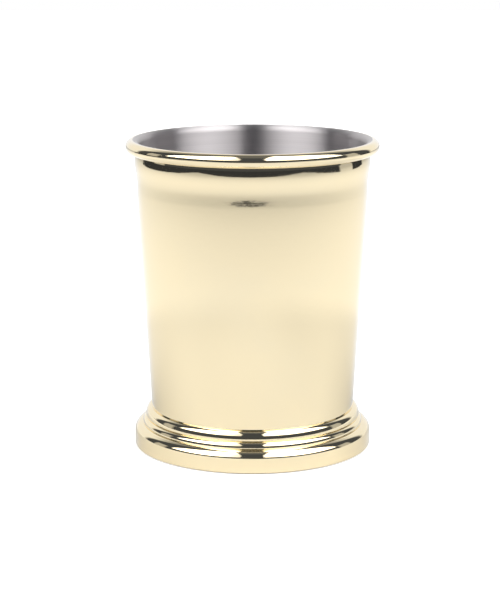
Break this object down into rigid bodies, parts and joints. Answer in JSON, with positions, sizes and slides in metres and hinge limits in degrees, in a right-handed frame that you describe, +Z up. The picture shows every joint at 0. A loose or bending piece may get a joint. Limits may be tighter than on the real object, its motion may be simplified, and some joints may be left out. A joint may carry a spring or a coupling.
{
  "type": "julep cup",
  "caption": "Mint julep cup: tapered gold-plated steel cup with a rolled bead rim and a stepped, ribbed foot ring; brushed steel inside.",
  "frame": {"origin": "centre of the circle that the foot stands on", "axes": "+Z up along the cup's turning axis, from the foot to the rim; X and Y lie in the resting plane and are equivalent"},
  "size_m": [0.0852, 0.0852, 0.105],
  "materials": {
    "plated_shell": "polished",
    "plated_foot": "polished",
    "wire_steel": "satin",
    "solder": "satin"
  },
  "bodies": {
    "root": {"cup_shell": "plated_shell", "rim_wire": "wire_steel", "foot_ring": "plated_foot", "upper_solder_ring": "solder", "lower_solder_ring": "solder"}
  },
  "joints": []
}
